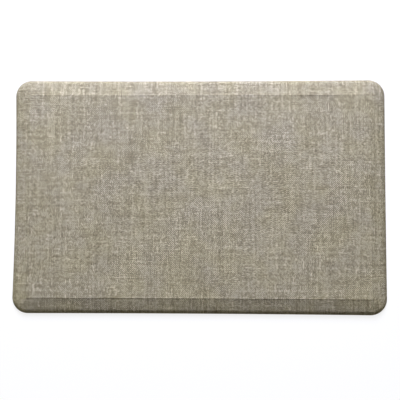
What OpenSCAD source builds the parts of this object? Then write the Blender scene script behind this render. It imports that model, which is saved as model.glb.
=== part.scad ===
// Anti fatigue mat: a cushioned floor mat with a bevelled edge on all four sides.
// The origin is at the centre of the underside, +X runs along the long side and +Z points up.
// It is a bonded laminate: a printed cover, its backing cloth, two foams and a non-slip sheet.

/* [Overall] */
// Length of the long side, along X
mat_w = 810; // [600:1:1200]
// Length of the short side, along Y
mat_d = 510; // [400:1:800]
// Height of the standing face above the floor
mat_h = 19; // [16:0.5:25]

/* [Bevelled edge] */
// Width of the bevel, from the crease to the outer edge
bevel_w = 35; // [30:0.5:45]
// Corner radius of the pressed crease round the standing face
crease_corner_r = 1; // [0.5:0.5:8]
// Width of the pressed shoulder beside the crease
rim_run = 1.5; // [0.8:0.1:2.5]
// Drop of the pressed shoulder beside the crease
rim_drop = 0.8; // [0.3:0.1:1.2]
// Radius of the rounded nose below the slope
nose_r = 17; // [14:0.5:22]
// Steepness in degrees at which the nose turns into the tuck
nose_end_angle = 62; // [50:1:75]
// Radius of the tuck between the nose and the upright sealed edge
tuck_r = 4; // [3:0.1:6]

/* [Cover] */
// Thickness of the printed and embossed cover
cover_t = 1; // [0.6:0.1:1.4]
// Thickness of the knitted cloth behind the cover
scrim_t = 0.5; // [0.3:0.1:0.8]
// Thickness of each layer of bonding film
film_t = 0.3; // [0.2:0.05:0.4]

/* [Foam core] */
// Thickness of the soft foam under the standing face
comfort_t = 6; // [4:0.5:8]

/* [Base] */
// Thickness of the non-slip sheet, and height of the sealed edge round it
base_t = 2; // [1.5:0.1:3]
// Width of the welded bead round the non-slip sheet
weld_w = 1.2; // [1:0.1:2]
// Bevel along the lower corner of the welded bead
weld_bevel = 0.4; // [0.2:0.1:0.8]
// Depth of the diamond pockets between the grip ribs
grip_depth = 0.8; // [0.4:0.1:1.2]
// Length of one diamond of the grip pattern, rib to rib, along X
grip_pitch_x = 60; // [40:1:90]
// Length of one diamond of the grip pattern, rib to rib, along Y
grip_pitch_y = 36; // [24:1:60]
// Width of the grip ribs between the pockets
grip_rib_w = 4; // [2:0.5:6]
// Width of the plain band round the grip pattern
grip_margin = 20; // [12:1:40]

/* [Hidden] */
$fn = 96;
// How far a cutting shape runs past the face it opens
overrun = 1;
// Flats that stand for the two round stretches of the bevel's section
nose_steps = 6;
tuck_steps = 3;

// Depth of each layer's outer face behind the cover's own
scrim_inset = cover_t;
bond_inset = cover_t + scrim_t;
core_inset = cover_t + scrim_t + film_t;

// Heights of the layer boundaries in the core
foam_floor_z = base_t + film_t;
core_top_z = mat_h - core_inset;
comfort_floor_z = core_top_z - comfort_t;
support_top_z = comfort_floor_z - film_t;

// Half lengths of the standing face, out to the crease
face_x = mat_w / 2 - bevel_w;
face_y = mat_d / 2 - bevel_w;

// The bevel's section runs outwards from the crease as u, and up as z.
// The slope starts where the pressed shoulder ends.
slope_start = [rim_run, mat_h - rim_drop];
// The tuck turns from the end of the nose to the upright edge, about this centre.
tuck_centre = [bevel_w - tuck_r, base_t];
// Nose and tuck share a tangent at nose_end_angle, so their centres lie on one line.
nose_centre = tuck_centre - (nose_r - tuck_r) * [sin(nose_end_angle), cos(nose_end_angle)];
// The slope is the straight line from slope_start that just touches the nose.
reach = nose_centre[0] - slope_start[0];
rise = slope_start[1] - nose_centre[1];
slope_angle = acos(nose_r / norm([reach, rise])) - atan2(reach, rise);

// Unit vector out of a surface that falls away at the given angle
function out_of(angle) = [sin(angle), cos(angle)];

// Points along a round stretch of the section, set in from its outer face
function round_points(centre, radius, from, to, steps, inset) =
    [for (i = [0:steps]) centre + (radius - inset) * out_of(from + (to - from) * i / steps)];

// Outline of the bevel's section at an inset, closed along the plane z = floor_z
function bevel_section(inset, floor_z) = concat(
    [[0, floor_z], [0, mat_h - inset], slope_start - inset * out_of(slope_angle)],
    round_points(nose_centre, nose_r, slope_angle, nose_end_angle, nose_steps, inset),
    [for (i = [1:tuck_steps])
        tuck_centre + (tuck_r - inset)
            * out_of(nose_end_angle + (90 - nose_end_angle) * i / tuck_steps)],
    floor_z < base_t ? [[bevel_w - inset, floor_z]] : []);

// The same outline carried in to the corner's axis, for turning round a crease corner
function corner_section(inset, floor_z) = concat(
    [[0, floor_z], [0, mat_h - inset]],
    [for (p = bevel_section(inset, floor_z)) if (p[0] > 0 || p[1] > floor_z) p + [crease_corner_r, 0]]);

// Places its children at both ends of a side, mirrored
module both_sides(direction) {
    children();
    mirror(direction) children();
}

// A band of the bevel along each straight side, and its turn round each corner
module edge_run(side_points, corner_points) {
    both_sides([1, 0, 0])
        translate([face_x, 0, 0])
            rotate([90, 0, 0])
                linear_extrude(height = 2 * (face_y - crease_corner_r), center = true)
                    polygon(side_points);
    both_sides([0, 1, 0])
        translate([0, face_y, 0])
            rotate([90, 0, 90])
                linear_extrude(height = 2 * (face_x - crease_corner_r), center = true)
                    polygon(side_points);
    both_sides([1, 0, 0])
        both_sides([0, 1, 0])
            translate([face_x - crease_corner_r, face_y - crease_corner_r, 0])
                rotate_extrude(angle = 90)
                    polygon(corner_points);
}

// The mat's whole body above floor_z, with every outer face set in by the inset
module mat_body(inset, floor_z) {
    edge_run(bevel_section(inset, floor_z), corner_section(inset, floor_z));
    for (size = [[face_x, face_y - crease_corner_r], [face_x - crease_corner_r, face_y]])
        translate([-size[0], -size[1], floor_z])
            cube([2 * size[0], 2 * size[1], mat_h - inset - floor_z]);
}

// A skin that follows the mat's outer face between two insets, open underneath
module skin(outer_inset, inner_inset) {
    difference() {
        mat_body(outer_inset, base_t);
        mat_body(inner_inset, base_t - overrun);
    }
}

// A layer of the core between two heights, trimmed to the bevel under the cover's backing
module core_layer(bottom_z, top_z) {
    intersection() {
        mat_body(core_inset, base_t);
        translate([-mat_w / 2, -mat_d / 2, bottom_z])
            cube([mat_w, mat_d, top_z - bottom_z]);
    }
}

// A slab with the mat's own outline, set in by the margin
module outline_slab(margin, height) {
    radius = bevel_w + crease_corner_r - margin;
    x = mat_w / 2 - margin;
    y = mat_d / 2 - margin;
    linear_extrude(height = height) {
        square([2 * x, 2 * (y - radius)], center = true);
        square([2 * (x - radius), 2 * y], center = true);
        for (side = [-1, 1], end = [-1, 1])
            translate([side * (x - radius), end * (y - radius)])
                circle(r = radius);
    }
}

// Diamond pockets in staggered rows, so that the ribs between them cross at the origin
module grip_pockets() {
    half = [grip_pitch_x, grip_pitch_y] / 2;
    // Distance from a diamond's centre to its sides, before the ribs take their share
    side_gap = half[0] * half[1] / norm(half);
    pocket = half * (1 - grip_rib_w / 2 / side_gap);
    limit = [mat_w, mat_d] / 2 - [grip_margin, grip_margin] - pocket;
    columns = floor(limit[0] / half[0]);
    rows = floor(limit[1] / half[1]);
    for (i = [-columns:columns], j = [-rows:rows])
        if (abs(i + j) % 2 == 1)
            translate([i * half[0], j * half[1], -overrun])
                linear_extrude(height = grip_depth + overrun)
                    polygon([[pocket[0], 0], [0, pocket[1]], [-pocket[0], 0], [0, -pocket[1]]]);
}

// Printed and embossed cover, down over the bevel to the sealed edge
module top_cover() {
    color([0.64, 0.61, 0.54]) skin(0, scrim_inset);
}

// Knitted cloth that carries the cover
module cover_scrim() {
    color([0.86, 0.85, 0.82]) skin(scrim_inset, bond_inset);
}

// Bonding film between the cover's cloth and the foam
module cover_bond_film() {
    color([0.93, 0.91, 0.80]) skin(bond_inset, core_inset);
}

// Soft foam that gives underfoot
module comfort_foam() {
    color([0.90, 0.86, 0.70]) core_layer(comfort_floor_z, core_top_z);
}

// Bonding film between the two foams
module core_bond_film() {
    color([0.93, 0.91, 0.80]) core_layer(support_top_z, comfort_floor_z);
}

// Dense foam that carries the weight and holds the shape of the bevel
module support_foam() {
    color([0.34, 0.35, 0.37]) core_layer(foam_floor_z, support_top_z);
}

// Bonding film between the foam and the non-slip sheet
module base_bond_film() {
    color([0.93, 0.91, 0.80]) core_layer(base_t, foam_floor_z);
}

// Non-slip sheet with moulded diamond ribs underneath
module base_sheet() {
    color([0.22, 0.21, 0.20])
        difference() {
            outline_slab(weld_w, base_t);
            grip_pockets();
        }
}

// Welded bead that seals the cover to the non-slip sheet all the way round
module edge_weld() {
    inner_u = bevel_w - weld_w;
    bead = [[inner_u, 0], [bevel_w - weld_bevel, 0], [bevel_w, weld_bevel],
            [bevel_w, base_t], [inner_u, base_t]];
    color([0.45, 0.42, 0.36])
        edge_run(bead, [for (p = bead) p + [crease_corner_r, 0]]);
}

top_cover();
cover_scrim();
cover_bond_film();
comfort_foam();
core_bond_film();
support_foam();
base_bond_film();
base_sheet();
edge_weld();
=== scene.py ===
"""Anti fatigue mat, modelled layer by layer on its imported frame.

The origin is at the centre of the underside, +X runs along the long side and +Z points up.
Every length is in metres. An inset is how far a layer's face lies behind the cover's outer face.
"""

import math

import bmesh
import bpy
import numpy as np
from bpy.props import FloatProperty, FloatVectorProperty, PointerProperty
from bpy.types import Operator, Panel, PropertyGroup
from mathutils import Matrix, Vector


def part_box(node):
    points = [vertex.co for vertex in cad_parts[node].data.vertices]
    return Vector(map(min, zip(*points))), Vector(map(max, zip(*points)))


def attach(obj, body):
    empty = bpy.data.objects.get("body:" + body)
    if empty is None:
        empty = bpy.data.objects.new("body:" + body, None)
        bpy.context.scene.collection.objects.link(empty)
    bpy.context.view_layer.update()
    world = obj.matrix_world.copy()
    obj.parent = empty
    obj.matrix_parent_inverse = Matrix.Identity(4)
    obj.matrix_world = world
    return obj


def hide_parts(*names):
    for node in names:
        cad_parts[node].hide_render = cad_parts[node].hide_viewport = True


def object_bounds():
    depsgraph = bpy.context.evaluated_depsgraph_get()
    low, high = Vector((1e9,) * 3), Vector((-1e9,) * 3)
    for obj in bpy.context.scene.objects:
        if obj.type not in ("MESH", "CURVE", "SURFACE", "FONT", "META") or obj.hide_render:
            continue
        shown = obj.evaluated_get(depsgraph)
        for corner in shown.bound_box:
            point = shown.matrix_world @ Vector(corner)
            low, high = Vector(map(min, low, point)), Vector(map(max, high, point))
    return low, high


bl_info = {
    "name": "Anti Fatigue Mat",
    "version": (1, 0, 0),
    "blender": (4, 5, 0),
    "location": "3D View > Sidebar > Mat",
    "description": "Models a cushioned floor mat, layer by layer, on its packed frame",
    "category": "Object",
}

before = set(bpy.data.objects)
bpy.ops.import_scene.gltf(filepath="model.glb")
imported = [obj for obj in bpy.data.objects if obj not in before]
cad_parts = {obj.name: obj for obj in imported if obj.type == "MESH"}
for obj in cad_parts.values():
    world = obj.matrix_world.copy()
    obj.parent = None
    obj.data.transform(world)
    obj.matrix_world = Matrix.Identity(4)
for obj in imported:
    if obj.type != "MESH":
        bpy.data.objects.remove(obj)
CAD_LOW, CAD_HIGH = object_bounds()

# Half lengths of the mat, its height, and the heights and insets of its layers, all from the frame
HALF_X = CAD_HIGH.x
HALF_Y = CAD_HIGH.y
MAT_H = CAD_HIGH.z
BASE_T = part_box("base_sheet")[1].z
SCRIM_INSET = MAT_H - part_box("cover_scrim")[1].z
BOND_INSET = MAT_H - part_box("cover_bond_film")[1].z
CORE_INSET = MAT_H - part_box("comfort_foam")[1].z
COMFORT_FLOOR_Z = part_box("comfort_foam")[0].z
SUPPORT_TOP_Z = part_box("support_foam")[1].z
FOAM_FLOOR_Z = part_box("support_foam")[0].z
WELD_W = HALF_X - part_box("base_sheet")[1].x

# Steps round each outline corner and along each stretch of the bevel
CORNER_STEPS = 24
TUCK_STEPS = 5
NOSE_STEPS = 14
SLOPE_STEPS = 6
SHOULDER_STEPS = 6
# Distances inside the crease at which the pressed ridge gets a ring of points
RIDGE_RINGS = (0.0016, 0.0023, 0.0032, 0.0050)
# How much each cause of unevenness adds to the tone of the print's threads, and relief the painted shade at
# their sides
TONES = {
    "crossing": 0.35,
    "bunch": 0.75,
    "top_long": 0.65,
    "all_long": 0.03,
    "top_short": 0.10,
    "slub": 1.40,
    "check": 2.00,
    # Painted shade: how much the tone darkens where each thread falls away to the crossing's sides
    "relief": 0.70,
}
# Size of the squares that the broad faces are cut into, so that they can settle
SETTLE_CELL = 0.030
# Faint waves of the standing face: radians per metre along X and along Y, start, and share
WAVES = ((34, 11, 0.6, 1.0), (-13, 39, 2.1, 1.0), (23, -28, 4.0, 0.7))
# Distance from the crease over which the waves fade out
WAVE_FADE = 0.040
# Width of a light's panel as a share of its distance
PANEL_SHARE = 0.46
# Cuts closer to a point than this run through the point
CUT_SLACK = 1e-6


def length(name, description, default):
    """A property that holds a length."""
    return FloatProperty(
        name=name, description=description, default=default, min=0.0, precision=5, unit="LENGTH"
    )


def colour(name, description, default):
    """A property that holds a colour, in linear light."""
    return FloatVectorProperty(
        name=name, description=description, default=default, min=0.0, max=1.0, size=3, subtype="COLOR"
    )


class MatShape(PropertyGroup):
    """Sizes that the boxes of the frame's nodes don't give."""

    bevel_w: length("Bevel width", "From the crease to the outer edge", 0.035)
    crease_r: length("Crease corner radius", "Corner radius of the pressed crease", 0.001)
    rim_run: length("Shoulder width", "Width of the pressed shoulder beside the crease", 0.0015)
    rim_drop: length("Shoulder drop", "Drop of the pressed shoulder beside the crease", 0.0008)
    nose_r: length("Nose radius", "Radius of the rounded nose below the slope", 0.017)
    nose_end: FloatProperty(
        name="Nose end",
        description="Steepness at which the nose turns into the tuck",
        default=math.radians(62),
        subtype="ANGLE",
    )
    tuck_r: length("Tuck radius", "Radius of the tuck above the sealed edge", 0.004)
    ridge_h: length("Ridge height", "Height of the pressed ridge above the standing face", 0.0003)
    ridge_w: length("Ridge width", "Width over which the ridge falls to the standing face", 0.0016)
    draw_left: length("Left draw-in", "How far the middle of the left edge is drawn in", 0.0038)
    draw_right: length("Right draw-in", "How far the middle of the right edge is drawn in", 0.0007)
    draw_back: length("Back draw-in", "How far the middle of the back edge is drawn in", 0.0018)
    draw_front: length("Front draw-in", "How far the middle of the front edge is drawn in", 0.0014)
    wave_h: length("Wave height", "Height of the standing face's faint waves", 0.0003)
    grip_pitch_x: length("Grip pitch X", "Length of one grip diamond along X", 0.060)
    grip_pitch_y: length("Grip pitch Y", "Length of one grip diamond along Y", 0.036)
    grip_rib_w: length("Grip rib width", "Width of the ribs between the grip pockets", 0.004)
    grip_depth: length("Grip depth", "Depth of the grip pockets", 0.0008)
    grip_margin: length("Grip margin", "Width of the plain band round the grip pattern", 0.020)
    weld_bevel: length("Bead bevel", "Bevel along the lower corner of the welded bead", 0.0004)


class MatFinish(PropertyGroup):
    """Colours and grain of the layers."""

    thread_pitch: length("Thread pitch", "Distance from one printed thread to the next", 0.001075)
    thread_h: length("Thread relief", "Depth of the pressed thread grain", 0.00024)
    linen_dark: colour("Dark thread", "Colour of the darkest printed threads", (0.159, 0.135, 0.081))
    linen_mid: colour("Middle thread", "Colour of most printed threads", (0.373, 0.331, 0.223))
    linen_pale: colour("Pale thread", "Colour of the palest printed threads", (0.732, 0.668, 0.487))
    linen_warm: colour("Warm tint", "Tint of the print's olive patches", (1.0, 0.995, 0.930))
    linen_cool: colour("Cool tint", "Tint of the print's grey patches", (0.985, 0.985, 1.0))
    scrim: colour("Backing cloth", "Colour of the knitted backing", (0.71, 0.69, 0.64))
    film: colour("Bonding film", "Colour of the bonding films", (0.84, 0.80, 0.60))
    comfort: colour("Soft foam", "Colour of the soft foam", (0.79, 0.71, 0.45))
    support: colour("Dense foam", "Colour of the dense foam", (0.095, 0.100, 0.112))
    rubber: colour("Grip sheet", "Colour of the non-slip sheet", (0.040, 0.037, 0.034))
    bead: colour("Edge bead", "Colour of the welded bead", (0.165, 0.140, 0.100))


class MatStage(PropertyGroup):
    """Camera, lights and floor."""

    lens: FloatProperty(name="Lens", description="Focal length", default=55.7, unit="CAMERA")
    camera_at: FloatVectorProperty(
        name="Camera place",
        description="Where the camera stands",
        default=(0.0354, -0.0805, 1.3472),
        size=3,
        subtype="XYZ_LENGTH",
    )
    camera_to: FloatVectorProperty(
        name="Camera aim",
        description="The point that the camera looks at",
        default=(0.0032, -0.0080, 0.0),
        size=3,
        subtype="XYZ_LENGTH",
    )
    camera_roll: FloatProperty(
        name="Camera roll",
        description="Turn of the camera about its own axis",
        default=math.radians(0.192),
        subtype="ANGLE",
    )
    key_tilt: FloatProperty(
        name="Key tilt",
        description="Angle of the main light away from straight above",
        default=math.radians(55),
        subtype="ANGLE",
    )
    key_turn: FloatProperty(
        name="Key turn",
        description="Turn of the main light from the back towards the right",
        default=math.radians(-5),
        subtype="ANGLE",
    )
    key_level: FloatProperty(
        name="Key level", description="Light that the key gives a white face turned to it", default=1.19
    )
    fill_tilt: FloatProperty(
        name="Fill tilt",
        description="Angle of the cool near light away from straight above",
        default=math.radians(50),
        subtype="ANGLE",
    )
    fill_turn: FloatProperty(
        name="Fill turn",
        description="Turn of the near light from the back towards the right",
        default=math.radians(0),
        subtype="ANGLE",
    )
    fill_level: FloatProperty(
        name="Fill level", description="Light that the fill gives a white face turned to it", default=0.76
    )
    key_away: length("Key distance", "Distance of the main light from the mat", 3.5)
    fill_away: length("Fill distance", "Distance of the near light from the mat", 1.5)
    sky_level: FloatProperty(
        name="Sky level", description="Light that the surroundings give a level white face", default=0.088
    )
    key_tint: colour("Key tint", "Colour of the main light", (0.99, 1.0, 0.94))
    fill_tint: colour("Fill tint", "Colour of the near light", (0.46, 0.49, 1.0))
    floor_w: length("Floor width", "Width of the floor", 16.0)
    floor_gap: length("Floor gap", "Gap between the floor and the mat's underside", 0.0002)
    sky_tint: colour("Sky tint", "Colour of the light from the surroundings", (1.0, 0.93, 0.68))
    floor_tint: colour("Floor tint", "Colour of the floor", (0.50, 0.47, 0.41))


# ---------------------------------------------------------------- shaping by hand


def start_outline(name, margin, height):
    """A face with the mat's rounded outline, set in by the margin. It is left open in edit mode."""
    shape = bpy.context.scene.mat_shape
    bpy.ops.object.select_all(action="DESELECT")
    bpy.ops.mesh.primitive_plane_add(size=1, enter_editmode=True, location=(0, 0, 0))
    piece = bpy.context.object
    piece.name = name
    piece.data.name = name
    size = (2 * (HALF_X - margin), 2 * (HALF_Y - margin), 1)
    bpy.ops.transform.resize(value=size, center_override=(0, 0, 0))
    bpy.ops.transform.translate(value=(0, 0, height))
    bpy.ops.mesh.bevel(
        affect="VERTICES",
        offset=shape.bevel_w + shape.crease_r - margin,
        offset_type="OFFSET",
        segments=CORNER_STEPS,
        profile=0.5,
    )
    bpy.ops.mesh.select_all(action="SELECT")
    return piece


def select_faces(piece, wanted):
    """Selects the faces for which wanted(face) is true, and nothing else."""
    bpy.ops.mesh.select_all(action="DESELECT")
    bpy.ops.mesh.select_mode(type="FACE")
    shape = bmesh.from_edit_mesh(piece.data)
    for face in shape.faces:
        face.select = wanted(face)
    shape.select_flush_mode()
    bmesh.update_edit_mesh(piece.data)


def select_open_edges():
    """Selects the edges at which a shell is open."""
    bpy.ops.mesh.select_all(action="DESELECT")
    bpy.ops.mesh.select_mode(type="EDGE")
    bpy.ops.mesh.select_non_manifold(
        extend=False,
        use_wire=False,
        use_boundary=True,
        use_multi_face=False,
        use_non_contiguous=False,
        use_verts=False,
    )


def turned(angle):
    """Unit vector (u, z) out of a surface that falls away at the angle."""
    return Vector((math.sin(angle), math.cos(angle)))


def bevel_profile(inset):
    """Points (u, z) of the bevel, from the sealed edge up to the crease, u being outwards from it."""
    shape = bpy.context.scene.mat_shape
    crest_z = MAT_H - inset
    slope_start = Vector((shape.rim_run, MAT_H - shape.rim_drop))
    tuck_centre = Vector((shape.bevel_w - shape.tuck_r, BASE_T))
    nose_centre = tuck_centre - (shape.nose_r - shape.tuck_r) * turned(shape.nose_end)
    reach = nose_centre.x - slope_start.x
    rise = slope_start.y - nose_centre.y
    slope = math.acos(shape.nose_r / math.hypot(reach, rise)) - math.atan2(reach, rise)

    def arc(centre, radius, first, last, steps):
        turns = (first + (last - first) * k / steps for k in range(steps + 1))
        return [centre + (radius - inset) * turned(turn) for turn in turns]

    points = arc(tuck_centre, shape.tuck_r, math.pi / 2, shape.nose_end, TUCK_STEPS)
    points += arc(nose_centre, shape.nose_r, shape.nose_end, slope, NOSE_STEPS)[1:]
    foot = points[-1].copy()
    shoulder = slope_start - inset * turned(slope)
    points += [foot.lerp(shoulder, k / SLOPE_STEPS) for k in range(1, SLOPE_STEPS + 1)]
    # The shoulder eases out of the slope and comes up to the crease as a soft fold.
    drop = crest_z - shoulder.y
    for k in range(SHOULDER_STEPS - 1, -1, -1):
        t = k / SHOULDER_STEPS
        fall = 0.65 * t * t * (3 - 2 * t) + 0.35 * t
        points.append(Vector((shoulder.x * t, crest_z - drop * fall)))
    return points


def press_face(name, inset):
    """The mat's pressed upper face at an inset, open at the sealed edge. It is left in edit mode."""
    shape = bpy.context.scene.mat_shape
    profile = bevel_profile(inset)
    piece = start_outline(name, shape.bevel_w - profile[0].x, profile[0].y)
    for outer, inner in zip(profile, profile[1:]):
        bpy.ops.mesh.inset(thickness=outer.x - inner.x, depth=inner.y - outer.y, use_even_offset=True)
    # The crease's small corner turns close up into the square corners of the standing face.
    bpy.ops.mesh.inset(thickness=0.97 * shape.crease_r, depth=0, use_even_offset=True)
    mesh = bmesh.from_edit_mesh(piece.data)
    corner_x = HALF_X - shape.bevel_w - shape.crease_r
    corner_y = HALF_Y - shape.bevel_w - shape.crease_r
    for vert in mesh.verts:
        if vert.select:
            vert.co.x = math.copysign(corner_x, vert.co.x)
            vert.co.y = math.copysign(corner_y, vert.co.y)
    bmesh.update_edit_mesh(piece.data)
    bpy.ops.mesh.remove_doubles(threshold=1e-5)
    done = shape.crease_r
    for ring in RIDGE_RINGS:
        bpy.ops.mesh.inset(thickness=ring - done, depth=0, use_even_offset=True)
        done = ring
    return piece


def cut_into_cells(cell):
    """Cuts the open piece along evenly spaced lines both ways, short of the corner turns."""
    shape = bpy.context.scene.mat_shape
    turn = shape.bevel_w + shape.crease_r
    for axis, half in ((Vector((1, 0, 0)), HALF_X - turn), (Vector((0, 1, 0)), HALF_Y - turn)):
        count = round(2 * half / cell)
        for k in range(count + 1):
            bpy.ops.mesh.select_all(action="SELECT")
            bpy.ops.mesh.bisect(plane_co=axis * (half * (2 * k / count - 1)), plane_no=axis)


def close_bottom():
    """Fills the open bottom of the piece in edit mode."""
    select_open_edges()
    bpy.ops.mesh.edge_face_add()


def finish_shape(sharp_from=40):
    """Leaves edit mode with every face turned outwards and smooth up to the given angle."""
    bpy.ops.mesh.select_all(action="SELECT")
    bpy.ops.mesh.normals_make_consistent(inside=False)
    bpy.ops.object.mode_set(mode="OBJECT")
    bpy.ops.object.shade_smooth_by_angle(angle=math.radians(sharp_from))


def points_of(piece):
    """The piece's points, as rows of x, y and z."""
    rows = np.empty(3 * len(piece.data.vertices))
    piece.data.vertices.foreach_get("co", rows)
    return rows.reshape(-1, 3)


def outside_crease(points):
    """Signed distance of each point from the crease, seen from above: positive on the bevel."""
    shape = bpy.context.scene.mat_shape
    pivot = np.array([HALF_X, HALF_Y]) - shape.bevel_w - shape.crease_r
    beyond = np.abs(points[:, :2]) - pivot
    return (
        np.hypot(*np.maximum(beyond, 0).T)
        + np.minimum(beyond.max(axis=1), 0)
        - shape.crease_r
    )


def settle(piece):
    """Gives the piece the mat's settled shape: sides drawn in, face sunk inside its ridge and wavy."""
    shape = bpy.context.scene.mat_shape
    points = points_of(piece)
    x, y, z = points.T
    away = outside_crease(points)
    across = x / HALF_X
    along = y / HALF_Y
    side_draw = np.where(x > 0, shape.draw_right, shape.draw_left) * (1 - along**2)
    end_draw = np.where(y > 0, shape.draw_back, shape.draw_front) * (1 - across**2)
    sink = shape.ridge_h * (1 - np.exp(-((np.minimum(away, 0) / shape.ridge_w) ** 2)))
    wave = sum(share * np.sin(turn_x * x + turn_y * y + start) for turn_x, turn_y, start, share in WAVES)
    depth = 0.5 + wave / (2 * sum(share for *_, share in WAVES))
    sink += shape.wave_h * depth * np.clip(-away / WAVE_FADE, 0, 1)
    points[:, 0] = x - np.sign(x) * side_draw * np.abs(across) ** 3
    points[:, 1] = y - np.sign(y) * end_draw * np.abs(along) ** 3
    # The grip sheet stays flat, and the layers above it share out the sinking of the face.
    points[:, 2] = z - sink * np.clip((z - BASE_T) / (MAT_H - BASE_T), 0, 1)
    piece.data.vertices.foreach_set("co", points.ravel())
    piece.data.update()


def lay_flat(piece, inset):
    """Stores where each point lies on the flat print, as the attribute print_flat."""
    shape = bpy.context.scene.mat_shape
    profile = bevel_profile(inset)[::-1]
    heights = [point.y for point in profile]
    lengths = [0.0]
    for upper, lower in zip(profile, profile[1:]):
        lengths.append(lengths[-1] + (lower - upper).length)
    points = points_of(piece)
    x, y, z = points.T
    run = np.interp(-z, [-h for h in heights], lengths)
    away = outside_crease(points)
    pivot_x = HALF_X - shape.bevel_w - shape.crease_r
    pivot_y = HALF_Y - shape.bevel_w - shape.crease_r
    over_x = np.maximum(np.abs(x) - pivot_x, 0)
    over_y = np.maximum(np.abs(y) - pivot_y, 0)
    reach = np.maximum(np.hypot(over_x, over_y), 1e-9)
    grown = np.where(away > -1e-6, (run + shape.crease_r) / reach, 1.0)
    flat = np.stack(
        [
            np.sign(x) * (np.minimum(np.abs(x), pivot_x) + over_x * grown),
            np.sign(y) * (np.minimum(np.abs(y), pivot_y) + over_y * grown),
            np.full_like(x, inset),
        ],
        axis=1,
    )
    layer = piece.data.attributes.new("print_flat", "FLOAT_VECTOR", "POINT")
    layer.data.foreach_set("vector", flat.ravel())
    return lengths[-1]


def map_print(skin, outer_inset, flat):
    """Lays the skin's outer face, inner face and rim out side by side on one square map."""
    mesh = skin.data
    sheet = mesh.uv_layers.new(name="OFBake")
    print_flat = mesh.attributes["print_flat"].data
    for face in mesh.polygons:
        spots = [print_flat[k].vector for k in face.vertices]
        outer = [abs(spot.z - outer_inset) < 1e-5 for spot in spots]
        turns = [(math.atan2(spot.y, spot.x) / math.tau) % 1 for spot in spots]
        wraps = max(turns) - min(turns) > 0.5
        for loop, spot, is_outer, turn in zip(face.loop_indices, spots, outer, turns):
            across = 0.5 + spot.x / flat[0]
            along = (0.5 + spot.y / flat[1]) * flat[1] / flat[0]
            if all(outer):
                place = (0.005 + 0.99 * across, 0.005 + 0.99 * along)
            elif not any(outer):
                place = (0.005 + 0.49 * across, 0.655 + 0.49 * along)
            else:
                # The rim runs once round the map's top edge.
                place = (0.005 + 0.95 * (turn + (wraps and turn < 0.5)), 0.995 if is_outer else 0.985)
            sheet.data[loop].uv = place


def press_skin(name, outer_inset, inner_inset):
    """A closed skin between two insets, down to the sealed edge. Returns it and its flat size."""
    shape = bpy.context.scene.mat_shape
    faces = []
    for inset in (outer_inset, inner_inset):
        face = press_face(name, inset)
        cut_into_cells(SETTLE_CELL)
        if inset == inner_inset:
            bpy.ops.mesh.select_all(action="SELECT")
            bpy.ops.mesh.flip_normals()
        bpy.ops.object.mode_set(mode="OBJECT")
        run = lay_flat(face, inset)
        if inset == outer_inset:
            flat = [2 * (half - shape.bevel_w + run) for half in (HALF_X, HALF_Y)]
        faces.append(face)
    skin, lining = faces
    bpy.ops.object.select_all(action="DESELECT")
    lining.select_set(True)
    skin.select_set(True)
    bpy.context.view_layer.objects.active = skin
    bpy.ops.object.join()
    bpy.ops.object.mode_set(mode="EDIT")
    select_open_edges()
    bpy.ops.mesh.bridge_edge_loops()
    finish_shape()
    map_print(skin, outer_inset, flat)
    return skin, flat


def press_layer(name, inset, floor_z, top_z):
    """A closed layer of the core between two heights, trimmed to the pressed face at the inset."""
    layer = press_face(name, inset)
    close_bottom()
    for height, upper in ((floor_z, False), (top_z, True)):
        # A layer that reaches the closed bottom or the top keeps the face that is there.
        if BASE_T < height < MAT_H:
            bpy.ops.mesh.select_all(action="SELECT")
            bpy.ops.mesh.bisect(
                plane_co=(0, 0, height),
                plane_no=(0, 0, 1),
                threshold=CUT_SLACK,
                use_fill=True,
                clear_outer=upper,
                clear_inner=not upper,
            )
    cut_into_cells(SETTLE_CELL)
    finish_shape()
    settle(layer)
    return layer


# ---------------------------------------------------------------- finishes


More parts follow.
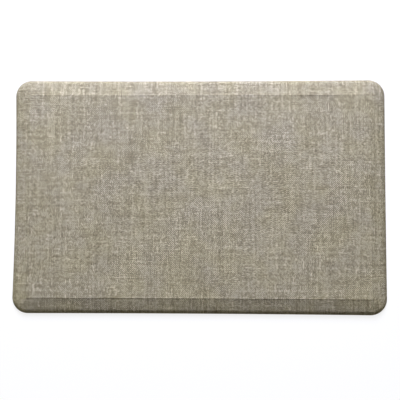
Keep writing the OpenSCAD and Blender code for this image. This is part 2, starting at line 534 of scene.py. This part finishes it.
class Finish:
    """A material, put together one node at a time."""

    def __init__(self, name, world=None):
        self.material = world or bpy.data.materials.new(name)
        self.material.use_nodes = True
        self.tree = self.material.node_tree
        self.tree.nodes.clear()

    def add(self, kind, inputs=(), **settings):
        """Adds a node. Each input is a pair of its name or number and a value or another node's output."""
        made = self.tree.nodes.new("ShaderNode" + kind)
        for key, value in settings.items():
            setattr(made, key, value)
        for key, value in inputs:
            if isinstance(value, bpy.types.NodeSocket):
                self.tree.links.new(value, made.inputs[key])
            else:
                made.inputs[key].default_value = value
        return made.outputs

    def math(self, operation, *values):
        return self.add("Math", enumerate(values), operation=operation)[0]

    def vector(self, operation, *values):
        return self.add("VectorMath", enumerate(values), operation=operation)[0]

    def scaled(self, vector, by):
        return self.add("VectorMath", [(0, vector), ("Scale", by)], operation="SCALE")[0]

    def parts(self, vector):
        return self.add("SeparateXYZ", [(0, vector)])

    def joined(self, x, y, z=0.0):
        return self.add("CombineXYZ", [(0, x), (1, y), (2, z)])[0]

    def noise(self, vector, scale, detail=2.0, roughness=0.5):
        """Smooth noise of about 0.5, with features 1 / scale long."""
        inputs = [("Vector", vector), ("Scale", scale), ("Detail", detail), ("Roughness", roughness)]
        return self.add("TexNoise", inputs)[0]

    def cells(self, vector, scale, feature="F1"):
        """Distance to the nearest of scattered cell centres, or to the edge between two cells."""
        return self.add("TexVoronoi", [("Vector", vector), ("Scale", scale)], feature=feature)[0]

    def spread(self, value, low, high, to_low=0.0, to_high=1.0):
        """Maps a value from one range to another, and keeps it there."""
        inputs = enumerate((value, low, high, to_low, to_high))
        return self.add("MapRange", inputs)[0]

    def mix(self, share, first, second):
        """A number between two others."""
        return self.add("Mix", [(0, share), (2, first), (3, second)], data_type="FLOAT")[0]

    def blend(self, share, first, second, kind="MIX"):
        """A colour between two others."""
        inputs = [(0, share), (6, first), (7, second)]
        return self.add("Mix", inputs, data_type="RGBA", blend_type=kind)[2]

    def ramp(self, value, *stops):
        """A colour picked by a value from stops, each a place and a colour."""
        made = self.tree.nodes.new("ShaderNodeValToRGB")
        while len(made.color_ramp.elements) < len(stops):
            made.color_ramp.elements.new(0.5)
        for element, (place, shade) in zip(made.color_ramp.elements, stops):
            element.position = place
            element.color = shade
        self.tree.links.new(value, made.inputs[0])
        return made.outputs[0]

    def bump(self, height, distance, strength=1.0):
        """Normals of a surface raised by a height of 0 to 1 times the distance."""
        inputs = [("Strength", strength), ("Distance", distance), ("Height", height)]
        return self.add("Bump", inputs)[0]

    def shade(self, base, roughness, normal, **constants):
        """Ends the material with a shader. Constants are set on the shader's own inputs."""
        inputs = [("Base Color", base), ("Roughness", roughness), ("Normal", normal)]
        inputs += [(key.replace("_", " "), value) for key, value in constants.items()]
        shader = self.add("BsdfPrincipled", inputs)[0]
        self.add("OutputMaterial", [(0, shader)])
        return self.material


def opaque(shade):
    return (*shade, 1.0)


def linen_finish():
    """Printed and pressed linen look: plain weave of uneven threads, with slubs, flecks, worn tints and
    painted shade.
    """
    colours = bpy.context.scene.mat_finish
    web = Finish("pressed_linen")
    flat = web.add("Attribute", attribute_name="print_flat")["Vector"]

    # The threads wander a little over the length of a hand.
    wander_scale = 7.0
    wander_width = 0.0030
    drift = web.add("TexNoise", [("Vector", flat), ("Scale", wander_scale), ("Detail", 1.0)])["Color"]
    drift = web.scaled(web.vector("SUBTRACT", drift, (0.5, 0.5, 0.5)), wander_width)
    place = web.scaled(web.vector("ADD", flat, drift), 1 / colours.thread_pitch)
    a, b, _ = web.parts(place)
    column = web.math("FLOOR", a)
    row = web.math("FLOOR", b)
    off_a = web.math("SUBTRACT", web.math("SUBTRACT", a, column), 0.5)
    off_b = web.math("SUBTRACT", web.math("SUBTRACT", b, row), 0.5)

    # The threads run in pairs, and the pairs pass over and under each other.
    pair_column = web.math("FLOOR", web.math("MULTIPLY", a, 0.5))
    pair_row = web.math("FLOOR", web.math("MULTIPLY", b, 0.5))
    # 1 where the upright pair lies on top, 0 where the level one does
    upright = web.math("PINGPONG", web.math("ADD", pair_column, pair_row), 1.0)

    def tone_along(number, run, span, seed):
        """Tone along a pair, about 0, that changes over span threads and from pair to pair."""
        step = web.math("MULTIPLY", run, 1.0 / span)
        spot = web.joined(web.math("MULTIPLY", number, 7.31), step, seed)
        return web.math("MULTIPLY_ADD", web.noise(spot, 1.0, 0.0), 6.0, -3.0)

    warp_long = tone_along(pair_column, b, 90.0, 3.7)
    weft_long = tone_along(pair_row, a, 96.0, 9.2)
    warp_short = tone_along(pair_column, b, 7.0, 15.1)
    weft_short = tone_along(pair_row, a, 7.0, 21.8)
    # Slubs are short stretches where a pair is thicker and takes the pale ink.
    warp_slub = web.spread(tone_along(pair_column, b, 15.0, 31.3), 1.25, 1.6)
    weft_slub = web.spread(tone_along(pair_row, a, 17.0, 38.9), 1.25, 1.6)

    def flecks(across, along, seed):
        """Tone about 0, with a spread of 1, that differs from crossing to crossing."""
        inputs = [("Vector", web.joined(across, along, seed))]
        speck = web.add("TexWhiteNoise", inputs, noise_dimensions="3D")
        return web.math("MULTIPLY_ADD", speck[0], 3.46, -1.73)

    crossing = flecks(column, row, 0.0)
    bunch = flecks(pair_column, pair_row, 5.0)
    fibre = web.math("MULTIPLY_ADD", web.noise(flat, 2600.0, 2.0), 6.0, -3.0)

    # In patches one set of threads is paler than the other, so the check shows.
    patch = web.spread(web.noise(flat, 42.0, 2.0), 0.46, 0.60)
    check = web.math("MULTIPLY", web.math("MULTIPLY_ADD", upright, 2.0, -1.0), patch)

    tone = web.math("MULTIPLY", crossing, TONES["crossing"])
    for part, share in (
        (web.mix(upright, weft_long, warp_long), TONES["top_long"]),
        (web.math("ADD", weft_long, warp_long), TONES["all_long"]),
        (web.mix(upright, weft_short, warp_short), TONES["top_short"]),
        (web.math("MAXIMUM", weft_slub, warp_slub), TONES["slub"]),
        (bunch, TONES["bunch"]),
        (check, TONES["check"]),
    ):
        tone = web.math("MULTIPLY_ADD", part, share, tone)

    # Thread rounding: the thread on top is high along its middle and falls to the crossing's sides.
    round_a = web.math("MULTIPLY_ADD", web.math("MULTIPLY", off_a, off_a), -4.0, 1.0)
    round_b = web.math("MULTIPLY_ADD", web.math("MULTIPLY", off_b, off_b), -4.0, 1.0)
    over_warp = web.math("MULTIPLY_ADD", round_b, 0.45, round_a)
    over_weft = web.math("MULTIPLY_ADD", round_a, 0.45, round_b)
    relief = web.mix(upright, over_weft, over_warp)
    # Painted shade: the tone darkens where each thread falls away to the crossing's sides.
    tone = web.math("MULTIPLY_ADD", web.math("SUBTRACT", relief, 0.97), TONES["relief"], tone)

    base = web.ramp(
        web.math("MULTIPLY_ADD", tone, 0.19, 0.5),
        (0.0, opaque(colours.linen_dark)),
        (0.5, opaque(colours.linen_mid)),
        (1.0, opaque(colours.linen_pale)),
    )
    tint_share = web.spread(web.noise(flat, 12.0, 2.0), 0.38, 0.62)
    tint = web.blend(tint_share, opaque(colours.linen_warm), opaque(colours.linen_cool))
    base = web.blend(1.0, base, tint, "MULTIPLY")

    grain = web.math("MULTIPLY_ADD", fibre, 0.04, relief)
    normal = web.bump(grain, colours.thread_h, 0.8)
    roughness = web.spread(relief, 0.2, 1.4, 0.82, 0.72)
    return web.shade(base, roughness, normal, Specular_IOR_Level=0.12)


def knit_grain(web, place):
    """Rows of small leaning loops, 0 between the loops and 1 on top of them."""
    x, y, _ = web.parts(web.scaled(place, 1 / 0.0014))
    lean = web.math("PINGPONG", x, 0.5)
    loops = web.math("PINGPONG", web.math("ADD", y, lean), 0.5)
    return web.math("ADD", loops, lean)


def web_grain(web, place):
    """A web of stuck threads."""
    return web.spread(web.cells(place, 420.0, "DISTANCE_TO_EDGE"), 0.02, 0.12, 1.0, 0.2)


def fine_foam_grain(web, place):
    """Small closed bubbles."""
    return web.spread(web.cells(place, 1100.0), 0.1, 0.6)


def open_foam_grain(web, place):
    """Bubbles of two sizes."""
    small = web.cells(place, 1500.0)
    return web.mix(0.6, small, web.cells(place, 620.0))


def rubber_grain(web, place):
    """A dull pebbled skin."""
    pebbles = web.cells(place, 900.0)
    return web.mix(0.4, web.noise(place, 2400.0, 3.0), pebbles)


def weld_grain(web, place):
    """Small even marks of the welding head."""
    x, y, z = web.parts(web.scaled(place, 1 / 0.0024))
    marks = web.math("PINGPONG", web.math("ADD", web.math("ADD", x, y), z), 0.5)
    return web.mix(0.5, marks, web.noise(place, 900.0, 2.0))


def plain_finish(name, shade, grain, depth, roughness=0.7, **constants):
    """One colour, a little deeper in random patches, with painted shade in the hollows of its grain."""
    web = Finish(name)
    place = web.add("TexCoord")["Object"]
    height = grain(web, place)
    deep = opaque(tuple(0.80 * part for part in shade))
    patches = web.spread(web.noise(place, 14.0, 2.0), 0.30, 0.70)
    # The deeper colour comes in random patches and, as painted shade, where the grain is low.
    base = web.blend(web.mix(0.55, patches, web.spread(height, 0.0, 1.0)), deep, opaque(shade))
    normal = web.bump(height, depth)
    return web.shade(base, roughness, normal, **constants)


def seen_share(web):
    """1 for the rays that show the backdrop: straight, mirrored or through glass. 0 for those that light."""
    rays = web.add("LightPath")
    seen = web.math("MAXIMUM", rays["Is Camera Ray"], rays["Is Glossy Ray"])
    return web.math("MAXIMUM", seen, rays["Is Transmission Ray"])


def floor_finish():
    """Plain pale floor that looks white but for a faint shadow, and lights the mat by its own colour."""
    stage = bpy.context.scene.mat_stage
    web = Finish("studio_floor")
    plain = web.add("BsdfDiffuse", [("Color", opaque(stage.floor_tint))])[0]
    # What is seen of the floor: mostly a glow, and a share that takes the shadow
    soft = web.add("BsdfDiffuse", [("Color", (0.22, 0.22, 0.22, 1.0))])[0]
    # The floor turns into the white backdrop well outside the mat's shadow.
    away = web.add("VectorMath", [(0, web.add("TexCoord")["Object"])], operation="LENGTH")["Value"]
    strength = web.spread(away, 0.7, 2.2, 0.84, 1.0)
    glow = web.add("Emission", [("Color", (1.0, 1.0, 1.0, 1.0)), ("Strength", strength)])[0]
    seen_white = web.add("AddShader", [(0, glow), (1, soft)])[0]
    both = web.add("MixShader", [(0, seen_share(web)), (1, plain), (2, seen_white)])[0]
    web.add("OutputMaterial", [(0, both)])
    return web.material


def studio_sky():
    """Surroundings that look white and give a faint even light."""
    stage = bpy.context.scene.mat_stage
    world = bpy.data.worlds.new("studio")
    web = Finish("studio_sky", world)
    sky = web.add("Background", [(0, opaque(stage.sky_tint)), (1, stage.sky_level)])[0]
    backdrop = web.add("Background", [(0, (1.0, 1.0, 1.0, 1.0)), (1, 1.0)])[0]
    both = web.add("MixShader", [(0, seen_share(web)), (1, sky), (2, backdrop)])[0]
    web.add("OutputWorld", [(0, both)])
    return world


def give(piece, material):
    """Gives the piece one material."""
    piece.data.materials.clear()
    piece.data.materials.append(material)


def set_in_place(piece, node):
    """Lets the piece stand for its node of the frame, and ride with the mat."""
    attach(piece, "root")
    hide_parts(node)


def add_light(name, tilt, turn, away, level, tint):
    """A square panel of light, aimed at the mat, that gives a white face turned to it the given level."""
    towards = Vector((math.sin(tilt) * math.sin(turn), math.sin(tilt) * math.cos(turn), math.cos(tilt)))
    bpy.ops.object.light_add(type="AREA", location=towards * away)
    light = bpy.context.object
    light.name = name
    light.rotation_euler = towards.to_track_quat("Z", "Y").to_euler()
    light.data.shape = "SQUARE"
    light.data.size = PANEL_SHARE * away
    light.data.color = tint
    light.data.energy = level * (math.pi * away) ** 2


# ---------------------------------------------------------------- operators


class MAT_OT_cover(Operator):
    """Model the printed and pressed cover"""

    bl_idname = "mat.cover"
    bl_label = "Cover"

    def execute(self, context):
        skin, flat = press_skin("cover_skin", 0.0, SCRIM_INSET)
        settle(skin)
        give(skin, linen_finish())
        set_in_place(skin, "top_cover")
        return {"FINISHED"}


class MAT_OT_scrim(Operator):
    """Model the knitted cloth behind the cover"""

    bl_idname = "mat.scrim"
    bl_label = "Backing cloth"

    def execute(self, context):
        colours = context.scene.mat_finish
        cloth, flat = press_skin("backing_cloth", SCRIM_INSET, BOND_INSET)
        settle(cloth)
        give(cloth, plain_finish("backing_knit", colours.scrim, knit_grain, 0.00020, 0.9))
        set_in_place(cloth, "cover_scrim")
        return {"FINISHED"}


class MAT_OT_films(Operator):
    """Model the three layers of bonding film"""

    bl_idname = "mat.films"
    bl_label = "Bonding films"

    def execute(self, context):
        colours = context.scene.mat_finish
        film = plain_finish("bonding_film", colours.film, web_grain, 0.00008, 0.45)
        skin, _ = press_skin("cover_glue_film", BOND_INSET, CORE_INSET)
        settle(skin)
        core = press_layer("core_glue_film", CORE_INSET, SUPPORT_TOP_Z, COMFORT_FLOOR_Z)
        base = press_layer("base_glue_film", CORE_INSET, BASE_T, FOAM_FLOOR_Z)
        for piece, node in ((skin, "cover_bond_film"), (core, "core_bond_film"), (base, "base_bond_film")):
            give(piece, film)
            set_in_place(piece, node)
        return {"FINISHED"}


class MAT_OT_foams(Operator):
    """Model the soft foam and the dense foam"""

    bl_idname = "mat.foams"
    bl_label = "Foams"

    def execute(self, context):
        colours = context.scene.mat_finish
        comfort = press_layer("comfort_pad", CORE_INSET, COMFORT_FLOOR_Z, MAT_H)
        give(comfort, plain_finish("soft_foam", colours.comfort, open_foam_grain, 0.00030, 0.9))
        set_in_place(comfort, "comfort_foam")
        support = press_layer("support_pad", CORE_INSET, FOAM_FLOOR_Z, SUPPORT_TOP_Z)
        give(support, plain_finish("dense_foam", colours.support, fine_foam_grain, 0.00015, 0.9))
        set_in_place(support, "support_foam")
        return {"FINISHED"}


class MAT_OT_grip_sheet(Operator):
    """Model the non-slip sheet with its diamond ribs"""

    bl_idname = "mat.grip_sheet"
    bl_label = "Grip sheet"

    def execute(self, context):
        shape = context.scene.mat_shape
        colours = context.scene.mat_finish
        sheet = start_outline("grip_sheet", WELD_W, 0.0)
        bpy.ops.mesh.flip_normals()
        half_x = shape.grip_pitch_x / 2
        half_y = shape.grip_pitch_y / 2
        # Rib lines both ways: the lines on which x / half_x plus or minus y / half_y is even
        reach = HALF_X / half_x + HALF_Y / half_y
        for lean in (1, -1):
            across = Vector((1 / half_x, lean / half_y, 0))
            for k in range(-int(reach / 2), int(reach / 2) + 1):
                bpy.ops.mesh.select_all(action="SELECT")
                bpy.ops.mesh.bisect(plane_co=(2 * k * half_x, 0, 0), plane_no=across.normalized())
        side_gap = half_x * half_y / math.hypot(half_x, half_y)
        pocket = 1 - shape.grip_rib_w / 2 / side_gap
        limit_x = HALF_X - shape.grip_margin - pocket * half_x
        limit_y = HALF_Y - shape.grip_margin - pocket * half_y

        def is_pocket(face):
            """True for a whole diamond inside the plain band, and not for the parts of diamonds round it."""
            centre = face.calc_center_median()
            whole = face.calc_area() > 1.99 * half_x * half_y
            return whole and abs(centre.x) < limit_x + 1e-6 and abs(centre.y) < limit_y + 1e-6

        select_faces(sheet, is_pocket)
        # Half the rib, then a rounded shoulder, a leaning wall and a soft foot
        rib = shape.grip_rib_w / 2
        deep = shape.grip_depth
        for across, down in (
            (rib - 0.0004, 0.0),
            (0.00016, 0.05),
            (0.00012, 0.12),
            (0.00012, 0.26),
            (0.00012, 0.30),
            (0.00014, 0.18),
            (0.00030, 0.09),
        ):
            bpy.ops.mesh.inset(thickness=across, depth=-down * deep, use_individual=True)
        select_open_edges()
        bpy.ops.mesh.extrude_edges_move(TRANSFORM_OT_translate={"value": (0, 0, BASE_T)})
        bpy.ops.mesh.edge_face_add()
        finish_shape(50)
        settle(sheet)
        give(sheet, plain_finish("grip_rubber", colours.rubber, rubber_grain, 0.00010, 0.72))
        set_in_place(sheet, "base_sheet")
        return {"FINISHED"}


class MAT_OT_edge_bead(Operator):
    """Model the welded bead that seals the cover to the grip sheet"""

    bl_idname = "mat.edge_bead"
    bl_label = "Edge bead"

    def execute(self, context):
        shape = context.scene.mat_shape
        colours = context.scene.mat_finish
        bead = start_outline("edge_bead", 0.0, 0.0)
        bpy.ops.mesh.inset(thickness=WELD_W, depth=0, use_even_offset=True)
        bpy.ops.mesh.delete(type="FACE")
        cut_into_cells(SETTLE_CELL)
        bpy.ops.mesh.select_mode(type="FACE")
        bpy.ops.mesh.select_all(action="SELECT")
        bpy.ops.mesh.extrude_region_move(TRANSFORM_OT_translate={"value": (0, 0, BASE_T)})
        bpy.ops.mesh.select_all(action="DESELECT")
        bpy.ops.mesh.select_mode(type="EDGE")
        mesh = bmesh.from_edit_mesh(bead.data)
        for edge in mesh.edges:
            ends = np.array([vert.co for vert in edge.verts])
            lowest = (ends[:, 2] < 1e-6).all()
            outermost = (outside_crease(ends) > shape.bevel_w - 0.0001).all()
            edge.select = bool(lowest and outermost)
        bmesh.update_edit_mesh(bead.data)
        bpy.ops.mesh.bevel(offset=shape.weld_bevel, segments=3, profile=0.5)
        finish_shape(50)
        settle(bead)
        give(bead, plain_finish("edge_bead", colours.bead, weld_grain, 0.00006, 0.55))
        set_in_place(bead, "edge_weld")
        return {"FINISHED"}


class MAT_OT_stage(Operator):
    """Set up the floor, the lights and the camera"""

    bl_idname = "mat.stage"
    bl_label = "Stage"

    def execute(self, context):
        stage = context.scene.mat_stage
        scene = context.scene

        bpy.ops.object.select_all(action="DESELECT")
        bpy.ops.mesh.primitive_plane_add(size=stage.floor_w, enter_editmode=True, location=(0, 0, 0))
        floor = context.object
        floor.name = "floor"
        bpy.ops.mesh.subdivide(number_cuts=4)
        bpy.ops.transform.translate(value=(0, 0, -stage.floor_gap))
        bpy.ops.object.mode_set(mode="OBJECT")
        give(floor, floor_finish())
        scene.world = studio_sky()

        add_light(
            "key_light", stage.key_tilt, stage.key_turn, stage.key_away, stage.key_level, stage.key_tint
        )
        add_light(
            "fill_light", stage.fill_tilt, stage.fill_turn, stage.fill_away, stage.fill_level, stage.fill_tint
        )

        place = Vector(stage.camera_at)
        back = (place - Vector(stage.camera_to)).normalized()
        right = Vector((0, 1, 0)).cross(back).normalized()
        up = back.cross(right)
        roll = stage.camera_roll
        right, up = (
            math.cos(roll) * right + math.sin(roll) * up,
            math.cos(roll) * up - math.sin(roll) * right,
        )
        turn = Matrix((right, up, back)).transposed()
        bpy.ops.object.camera_add(location=place, rotation=turn.to_euler())
        camera = context.object
        camera.name = "camera"
        camera.data.sensor_width = 36
        camera.data.lens = stage.lens
        scene.camera = camera
        scene.view_settings.view_transform = "Standard"
        return {"FINISHED"}


class MAT_PT_parts(Panel):
    """Lists the mat's sizes, finishes and parts"""

    bl_idname = "MAT_PT_parts"
    bl_label = "Anti Fatigue Mat"
    bl_space_type = "VIEW_3D"
    bl_region_type = "UI"
    bl_category = "Mat"

    def draw(self, context):
        scene = context.scene
        for operator in PART_OPERATORS:
            self.layout.operator(operator.bl_idname)
        for group in (scene.mat_shape, scene.mat_finish, scene.mat_stage):
            box = self.layout.box()
            for key in group.bl_rna.properties.keys():
                if key not in ("rna_type", "name"):
                    box.prop(group, key)


PART_OPERATORS = (
    MAT_OT_stage,
    MAT_OT_cover,
    MAT_OT_scrim,
    MAT_OT_films,
    MAT_OT_foams,
    MAT_OT_grip_sheet,
    MAT_OT_edge_bead,
)
CLASSES = (MatShape, MatFinish, MatStage, *PART_OPERATORS, MAT_PT_parts)


def register():
    for cls in CLASSES:
        bpy.utils.register_class(cls)
    bpy.types.Scene.mat_shape = PointerProperty(type=MatShape)
    bpy.types.Scene.mat_finish = PointerProperty(type=MatFinish)
    bpy.types.Scene.mat_stage = PointerProperty(type=MatStage)


def unregister():
    del bpy.types.Scene.mat_stage
    del bpy.types.Scene.mat_finish
    del bpy.types.Scene.mat_shape
    for cls in reversed(CLASSES):
        bpy.utils.unregister_class(cls)


def main():
    register()
    for operator in PART_OPERATORS:
        group, name = operator.bl_idname.split(".")
        getattr(getattr(bpy.ops, group), name)()


if __name__ == "__main__":
    main()
